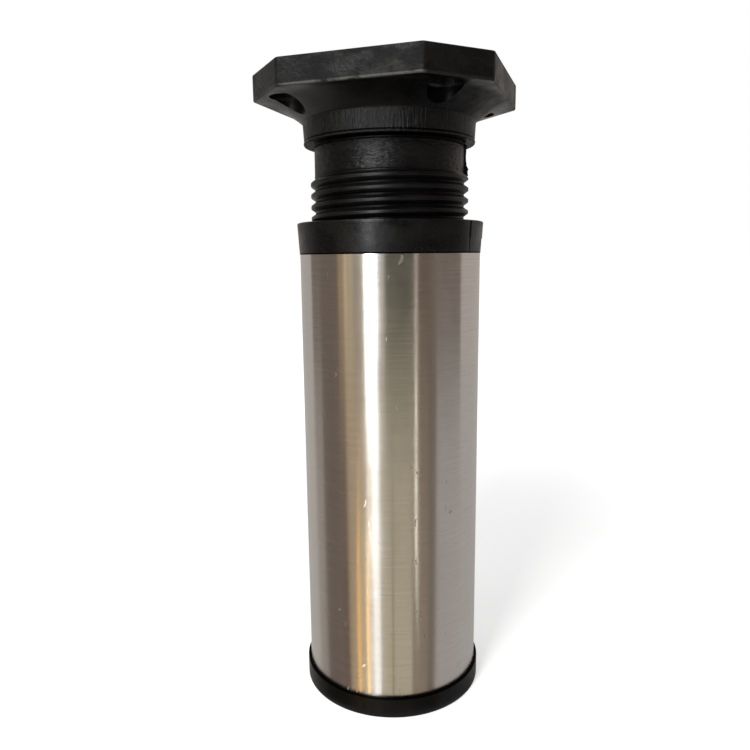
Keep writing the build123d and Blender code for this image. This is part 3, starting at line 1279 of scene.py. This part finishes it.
@dataclass
class ThreadedCollar:
    """The tapered flange on the tube's end with its grip pad, and the spigot inside the tube."""

    high: float
    seat_level: float
    low: float
    tube_radius: float
    seat_overhang: float = 0.1
    top_overhang: float = 0.6
    bore: float = 21.9
    bore_edge: float = 0.3
    spigot: float = 23.5
    ribs: CrushRibs = CrushRibs()
    lead_in: float = 0.6
    end_bevel: float = 0.45
    top_bevel: float = 0.4
    pad_height: float = 4.4
    pad_proud: float = 0.15
    pad_half_angle: float = 22.0
    pad_direction: float = 5.0
    groove_depth: float = 0.09
    side_rows: int = 16
    finish: MouldedPlastic = MouldedPlastic(
        "collar_black_plastic",
        colour=(0.0015, 0.0015, 0.0017),
        worn_colour=(0.0036, 0.0036, 0.0036),
        roughness=0.32,
        shine=0.32,
        grain=0.35,
        grain_depth=0.02,
        unevenness_depth=0.09,
    )

    def angles(self) -> np.ndarray:
        """Even angles, with extra ones at the pad's edges.

        Returns:
            The angles in rising order, in radians.
        """
        extra = [math.radians(self.pad_direction + side * (self.pad_half_angle + away))
                 for side in (-1, 1) for away in (-0.4, 0.0, 0.5, 1.0)]
        return np.sort(np.concatenate([even_angles(216), np.array(extra) % FULL_TURN]))

    def from_pad(self, angles: np.ndarray) -> np.ndarray:
        """How many degrees each angle lies from the pad's middle."""
        return np.abs((np.degrees(angles) - self.pad_direction + 180) % 360 - 180)

    def pad_share(self, angles: np.ndarray) -> np.ndarray:
        """How far each angle lies on the pad: 1 on it, 0 beside it."""
        return np.clip((self.pad_half_angle + 0.5 - self.from_pad(angles)) / 0.5, 0, 1)

    def pad_groove(self, angles: np.ndarray) -> np.ndarray:
        """The fine groove beside the pad: 1 in it, 0 elsewhere."""
        return np.clip(1 - np.abs(self.from_pad(angles) - self.pad_half_angle - 1.0) / 0.5, 0, 1)

    def add_side(self, skin: Skin) -> None:
        """Adds the flange's tapered side with pad and groove, from its top edge to the tube.

        Args:
            skin: the collar's skin.
        """
        seat = self.tube_radius + self.seat_overhang
        lip = self.tube_radius + self.top_overhang
        raised = self.pad_share(skin.angles) * self.pad_proud
        sunk = self.pad_groove(skin.angles) * self.groove_depth
        bevel = self.top_bevel
        skin.ring(lip - 0.3 * bevel + raised, self.high - 0.3 * bevel)
        skin.ring(lip + raised - sunk, self.high - bevel)
        top = self.high - bevel
        for row in range(1, self.side_rows + 1):
            level = top + (self.seat_level + 0.12 - top) * row / self.side_rows
            share = (level - self.seat_level) / (self.high - self.seat_level)
            below_pad = self.high - self.pad_height - level
            on_pad = 1.0 if below_pad <= 0 else max(0.0, 1 - below_pad / 0.3)
            skin.ring(seat + (lip - seat) * share + raised * on_pad - sunk, level)
        skin.turned([(seat - 0.04, self.seat_level + 0.03), (seat - 0.12, self.seat_level)])

    def build(self) -> bpy.types.Object:
        """Makes the collar as one closed skin.

        Returns:
            The finished piece.
        """
        skin = Skin(self.angles())
        edge = self.bore_edge
        rim = self.tube_radius + self.top_overhang - self.top_bevel
        skin.turned([(self.bore, self.low), (self.bore, self.high - edge)])
        skin.turned([(self.bore + 0.3 * edge, self.high - 0.3 * edge), (self.bore + edge, self.high)])
        skin.turned([(self.bore + edge + 0.1, self.high), (rim - 0.08, self.high), (rim, self.high)])
        self.add_side(skin)
        skin.turned([(self.spigot + 0.1, self.seat_level)])
        bite = self.ribs.radii(skin.angles, self.spigot)
        skin.ring(bite, self.seat_level - 0.02)
        skin.ring(bite, self.low + self.lead_in)
        skin.turned([(self.spigot - self.end_bevel, self.low)])
        mesh = skin.mesh("threaded_collar_moulding", closed=True)
        tidy_mesh(mesh)
        # Painted shade where the collar sits on the tube.
        finish = replace(self.finish, shade_bands=((self.seat_level - 0.1, self.seat_level + 0.3),))
        mesh.materials.append(finish.material())
        return handed_over(placed(mesh), Body.LEG, "threaded_collar")


@dataclass
class LegTube:
    """The brushed steel tube."""

    radius: float
    low: float
    high: float
    wall: float = 1.0
    edge: float = 0.04
    finish: BrushedSteel = BrushedSteel()

    def build(self) -> bpy.types.Object:
        """Makes the tube with slightly broken edges.

        Returns:
            The finished piece.
        """
        bore = self.radius - self.wall
        ends = [(self.radius, self.low), (self.radius, self.high), (bore, self.high), (bore, self.low)]
        skin = Skin(even_angles(288))
        skin.turned(rounded([Corner(*end, self.edge) for end in ends], closed=True))
        mesh = skin.mesh("leg_tube_steel", closed=True)
        tidy_mesh(mesh)
        mesh.materials.append(self.finish.material())
        return handed_over(placed(mesh), Body.LEG, "leg_tube")


@dataclass
class FootCap:
    """The moulded foot: sole, skirt round the tube and ribbed spigot inside it."""

    radius: float
    high: float
    tube_radius: float
    floor: float = 3.2
    skirt_height: float = 2.75
    sole_round: float = 0.5
    seat_clearance: float = 0.05
    spigot: float = 23.5
    spigot_wall: float = 1.8
    ribs: CrushRibs = CrushRibs()
    lead_in: float = 0.6
    finish: MouldedPlastic = MouldedPlastic(
        "foot_black_plastic",
        colour=(0.0012, 0.0012, 0.0011),
        worn_colour=(0.0022, 0.0022, 0.0021),
        roughness=0.42,
        shine=0.16,
        grain_depth=0.006,
        specks=0.1,
        unevenness_depth=0.03,
    )

    def build(self) -> bpy.types.Object:
        """Makes the cap as one closed skin.

        Returns:
            The finished piece.
        """
        skin = Skin(even_angles(240))
        skirt_top = self.floor + self.skirt_height
        seat = self.tube_radius + self.seat_clearance
        inner = self.spigot - self.spigot_wall
        outside = [
            Corner(0.0, 0.0),
            Corner(self.radius, 0.0, self.sole_round),
            Corner(self.radius, skirt_top, 0.12),
            Corner(seat, skirt_top, 0.08),
            Corner(seat, self.floor, 0.1),
            Corner(self.spigot + 0.1, self.floor),
        ]
        skin.turned(rounded(outside, closed=False, steps=6))
        bite = self.ribs.radii(skin.angles, self.spigot)
        skin.ring(bite, self.floor + 0.02)
        skin.ring(bite, self.high - self.lead_in)
        inside = [
            Corner(self.spigot - self.lead_in, self.high),
            Corner(inner, self.high, 0.15),
            Corner(inner, self.floor, 0.3),
            Corner(0.0, self.floor),
        ]
        skin.turned(rounded(inside, closed=False))
        mesh = skin.mesh("foot_cap_moulding", closed=False)
        tidy_mesh(mesh)
        # Painted shade along the sole at the floor and at the skirt's top edge against the tube.
        finish = replace(self.finish, shade_bands=((-0.1, 0.35), (skirt_top - 0.35, skirt_top + 0.1)))
        mesh.materials.append(finish.material())
        return handed_over(placed(mesh), Body.LEG, "foot_cap")


# The studio


@dataclass(frozen=True)
class Card:
    """A studio card that runs along the floor and up a wall and shows only in reflections.

    Its middle and width are in degrees to the right of the camera. Its floor part starts at near,
    and where far is set it ends there, without a wall part.
    """

    name: str
    middle: float
    width: float
    wall_light: Colour
    floor_light: Colour
    layer: int = 0
    near: float = 2.0
    far: float | None = None


@dataclass(frozen=True)
class Softbox:
    """A rectangular lamp that faces the leg.

    Its azimuth is in degrees to the right of the camera, its distance from the leg's axis, its
    level and its size are in mm, and its power is in watts.
    """

    name: str
    azimuth: float
    distance: float
    level: float
    size: tuple[float, float]
    power: float
    colour: Colour


@dataclass
class Studio:
    """Camera, lamps, reflector cards and floor, set round the leg.

    Angles are in degrees. Lengths are in mm, apart from the camera's clip range and the floor's
    reach and glow range, which are in metres.
    """

    camera_azimuth: float = 17.6
    camera_distance: float = 198.75
    camera_height: float = 125.68
    pitch: float = 10.29
    roll: float = -0.59
    yaw: float = 1.31
    focal_pixels: float = 696.8
    picture_pixels: float = 750.0
    upward_shift: float = 0.0103
    sensor: float = 36.0
    clip_range: tuple[float, float] = (0.005, 50.0)
    card_reach: float = 575.0
    card_height: float = 1700.0
    tube_radius: float = 25.0
    card_gather: float = 0.44
    gathered_sides: float = 170.0
    fill_level: float = 0.4
    aim_level: float = 90.0
    floor_reach: float = 30.0
    floor_colour: tuple[float, float, float, float] = (0.82, 0.82, 0.82, 1.0)
    glow_range: tuple[float, float] = (0.1, 0.45)
    glow_levels: tuple[float, float] = (0.5, 0.8)
    lamps: tuple[Softbox, ...] = (
        Softbox("key_softbox", -24, 400, 300, (100, 500), 1.75, (1.0, 0.985, 0.96)),
        Softbox("top_softbox", -50, 520, 620, (420, 420), 1.0, (1.0, 1.0, 1.0)),
        Softbox("right_fill", 95, 640, 260, (260, 420), 0.12, (1.0, 0.99, 0.98)),
    )
    cards: tuple[Card, ...] = (
        Card("left_far", -140, 44, (0.445, 0.415, 0.393), (0.479, 0.453, 0.427)),
        Card("left_pale", -109, 18, (0.180, 0.145, 0.125), (0.342, 0.304, 0.274)),
        Card("left_taupe", -84, 32, (0.162, 0.128, 0.107), (0.162, 0.128, 0.111)),
        Card("left_tan", -63, 10, (0.40, 0.285, 0.165), (0.137, 0.094, 0.073)),
        Card("left_tan_line", -58, 1.6, (0.90, 0.80, 0.58), (0.50, 0.40, 0.28), 1),
        Card("left_cream", -52.5, 11, (0.462, 0.368, 0.239), (0.427, 0.316, 0.205)),
        Card("left_gold_line", -45.5, 1.6, (0, 0, 0), (2.9, 1.45, 0.15), 1, far=140),
        Card("left_grey", -39, 16, (0.24, 0.216, 0.18), (0.445, 0.359, 0.239)),
        Card("left_warm_line", -33, 1.8, (0, 0, 0), (3.0, 1.6, 0.3), 1, far=110),
        Card("front_pale", -19, 24, (0.37, 0.36, 0.33), (0.50, 0.445, 0.335)),
        Card("front_band", -20, 9, (0.257, 0.248, 0.231), (1.11, 1.09, 1.04), 1),
        Card("front_dark", 10.5, 35, (0.028, 0.03, 0.027), (0.50, 0.445, 0.335)),
        Card("front_line", 1.5, 2.5, (0, 0, 0), (0.33, 0.265, 0.155), 1, far=170),
        Card("right_line", 32.5, 2.2, (0.52, 0.48, 0.42), (2.2, 2.03, 1.72), 1, near=75),
        Card("right_mauve", 39, 22, (0.120, 0.0855, 0.070), (0.282, 0.231, 0.180)),
        Card("right_dark", 55.5, 11, (0.162, 0.124, 0.098), (0.188, 0.154, 0.128)),
        Card("right_taupe", 80.5, 39, (0.145, 0.111, 0.090), (0.419, 0.389, 0.376)),
        Card("right_far", 134.5, 69, (0.445, 0.406, 0.376), (0.427, 0.406, 0.393)),
        Card("back", 192, 44, (0.513, 0.496, 0.479), (0.513, 0.496, 0.479)),
    )

    def toward(self, azimuth: float) -> Vector:
        """The level direction at an angle to the right of the camera's side of the leg."""
        turn = math.radians(self.camera_azimuth + azimuth)
        return Vector((math.sin(turn), -math.cos(turn), 0.0))

    def camera(self) -> None:
        """Sets the camera where the photograph was taken."""
        lens = bpy.data.cameras.new("camera")
        lens.sensor_width = self.sensor
        lens.lens = self.sensor * self.focal_pixels / self.picture_pixels
        lens.shift_y = self.upward_shift
        lens.clip_start, lens.clip_end = self.clip_range
        eye = bpy.data.objects.new("camera", lens)
        bpy.context.scene.collection.objects.link(eye)
        heading = math.radians(self.camera_azimuth + self.yaw)
        level = Vector((-math.sin(heading), math.cos(heading), 0.0))
        dip = math.radians(self.pitch)
        look = level * math.cos(dip) - UP * math.sin(dip)
        right = look.cross(UP).normalized()
        above = right.cross(look)
        lean = math.radians(self.roll)
        side = right * math.cos(lean) + above * math.sin(lean)
        top = above * math.cos(lean) - right * math.sin(lean)
        turn = Matrix((side, top, -look)).transposed().to_4x4()
        place = self.toward(0.0) * self.camera_distance + UP * self.camera_height
        eye.matrix_world = Matrix.Translation(place * MM) @ turn
        bpy.context.scene.camera = eye

    def softbox(self, lamp: Softbox) -> None:
        """Hangs one lamp and turns it to the leg.

        Args:
            lamp: the lamp's sizes, place and light.
        """
        light = bpy.data.lights.new(lamp.name, "AREA")
        light.shape = "RECTANGLE"
        light.size, light.size_y = (length * MM for length in lamp.size)
        light.energy = lamp.power
        light.color = lamp.colour
        thing = bpy.data.objects.new(lamp.name, light)
        bpy.context.scene.collection.objects.link(thing)
        thing.location = (self.toward(lamp.azimuth) * lamp.distance + UP * lamp.level) * MM
        aim = UP * self.aim_level * MM - thing.location
        thing.rotation_euler = aim.to_track_quat("-Z", "Y").to_euler()

    def glowing(self, name: str, light: Colour) -> bpy.types.Material:
        """A material that only gives off light.

        Args:
            name: the material's name.
            light: the light's colour, which may be brighter than white.

        Returns:
            The new material.
        """
        material = new_material(name)
        board = Wiring(material.node_tree)
        peak = max(light) or 1.0
        board.show(board.step("ShaderNodeEmission", (*(part / peak for part in light), 1.0), peak))
        return material

    def card(self, sheet: Card) -> None:
        """Makes one reflector card.

        Args:
            sheet: the card's place, width and light.
        """
        steps = max(2, math.ceil(sheet.width / 4))
        reach = sheet.far or self.card_reach - 15.0 * sheet.layer
        lift = UP * (0.5 + 0.5 * sheet.layer)
        points = []
        for step in range(steps + 1):
            azimuth = sheet.middle + sheet.width * (step / steps - 0.5)
            gather = self.card_gather if abs(azimuth) < self.gathered_sides else 1.0
            start = self.toward(azimuth * gather) * self.tube_radius + lift
            far = start + self.toward(azimuth) * reach
            near = start + self.toward(azimuth) * sheet.near
            points += [point * MM for point in (near, far, far + UP * self.card_height)]
        rows = 1 if sheet.far else 2
        corners = [step * 3 + row for step in range(steps) for row in range(rows)]
        mesh = bpy.data.meshes.new(sheet.name)
        mesh.from_pydata(points, [], [(at, at + 1, at + 4, at + 3) for at in corners])
        for light in (sheet.floor_light, sheet.wall_light):
            mesh.materials.append(self.glowing(sheet.name, light))
        for face in mesh.polygons:
            face.material_index = face.index % rows
        thing = placed(mesh)
        for ray in ("camera", "diffuse", "shadow", "transmission"):
            setattr(thing, "visible_" + ray, False)

    def world(self) -> None:
        """Gives white surroundings where they are seen, and a plain soft fill light otherwise."""
        world = bpy.data.worlds.new("studio")
        world.use_nodes = True
        board = Wiring(world.node_tree)
        fill = board.step("ShaderNodeBackground", WHITE, self.fill_level)
        white = board.step("ShaderNodeBackground", WHITE, 1.0)
        seen = board.step("ShaderNodeMixShader", board.seen_directly(), fill, white)
        board.show(seen, "ShaderNodeOutputWorld")
        bpy.context.scene.world = world

    def floor_paint(self) -> bpy.types.Material:
        """Pale paint that glows where it is seen directly, and is clear from below.

        Returns:
            The new material.
        """
        material = new_material("pale_floor")
        board = Wiring(material.node_tree)
        place = board.node("ShaderNodeTexCoord").outputs["Object"]
        brightness = board.spread(board.length(place), *self.glow_range, *self.glow_levels)
        glow = board.node("ShaderNodeEmission")
        board.link(board.times(board.seen_directly(), brightness), glow.inputs["Strength"])
        paint = board.step("ShaderNodeBsdfDiffuse", self.floor_colour)
        total = board.step("ShaderNodeAddShader", paint, glow.outputs[0])
        below = board.node("ShaderNodeNewGeometry").outputs["Backfacing"]
        clear = board.step("ShaderNodeBsdfTransparent")
        board.show(board.step("ShaderNodeMixShader", below, total, clear))
        return material

    def floor(self) -> None:
        """Lays the pale floor that meets the white surroundings and keeps the leg's shadow."""
        reach = self.floor_reach
        corners = [(-reach, -reach, 0.0), (reach, -reach, 0.0), (reach, reach, 0.0), (-reach, reach, 0.0)]
        mesh = bpy.data.meshes.new("floor")
        mesh.from_pydata(corners, [], [(0, 1, 2, 3)])
        mesh.materials.append(self.floor_paint())
        placed(mesh)

    def build(self) -> None:
        """Sets the whole studio up."""
        self.camera()
        self.world()
        self.floor()
        for sheet in self.cards:
            self.card(sheet)
        for lamp in self.lamps:
            self.softbox(lamp)
        bpy.context.scene.view_settings.view_transform = "Standard"
        log.info("studio: %d cards, %d lamps", len(self.cards), len(self.lamps))


def main() -> None:
    """Builds the leg from the floor up and sets the studio round it."""
    tube_low, tube_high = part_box("leg_tube")
    collar_low, collar_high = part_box("threaded_collar")
    cap_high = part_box("foot_cap")[1]
    head_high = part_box("mounting_head")[1]
    tube_radius = tube_high.x / MM
    FootCap(cap_high.x / MM, cap_high.z / MM, tube_radius).build()
    LegTube(tube_radius, tube_low.z / MM, tube_high.z / MM).build()
    ThreadedCollar(collar_high.z / MM, tube_high.z / MM, collar_low.z / MM, tube_radius).build()
    MountingHead(head_high.z / MM, 2 * head_high.x / MM).build()
    Studio().build()


if __name__ == "__main__":
    logging.basicConfig(level=logging.INFO, format="%(name)s: %(message)s")
    main()
